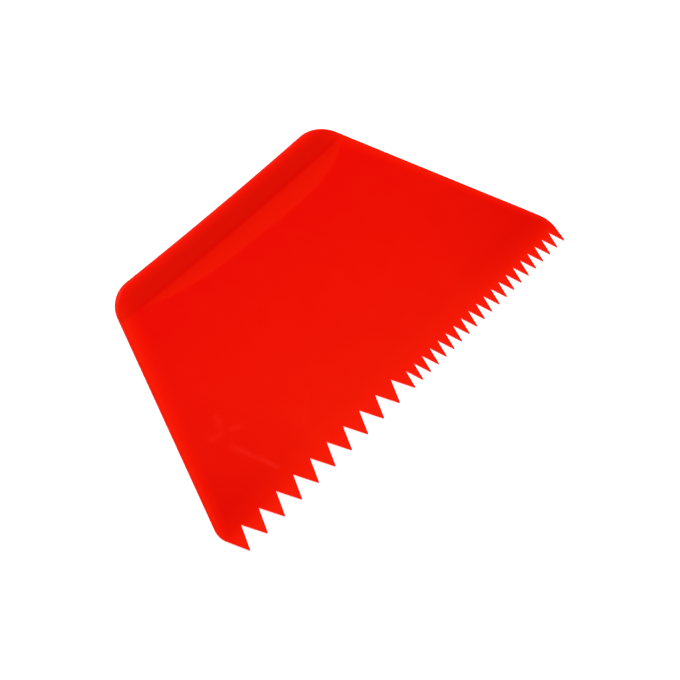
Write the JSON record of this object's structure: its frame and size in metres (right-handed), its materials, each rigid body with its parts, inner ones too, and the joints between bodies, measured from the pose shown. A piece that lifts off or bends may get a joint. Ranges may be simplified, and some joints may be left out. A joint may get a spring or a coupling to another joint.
{
  "type": "cake comb",
  "caption": "Trapezoid cake comb moulded in one piece, its long edge toothed coarse and fine, with a raised grip lip and thumb scoop along its short edge.",
  "frame": {"origin": "middle of the comb's bounding box, on the flat face that it lies on", "axes": "+X along the toothed edge, from the coarse teeth to the fine teeth; +Y from the teeth to the grip; +Z out of the face that carries the grip lip"},
  "size_m": [0.1678, 0.0916, 0.0025],
  "materials": {
    "red_plastic": "satin"
  },
  "bodies": {
    "root": {"comb": "red_plastic"}
  },
  "joints": []
}
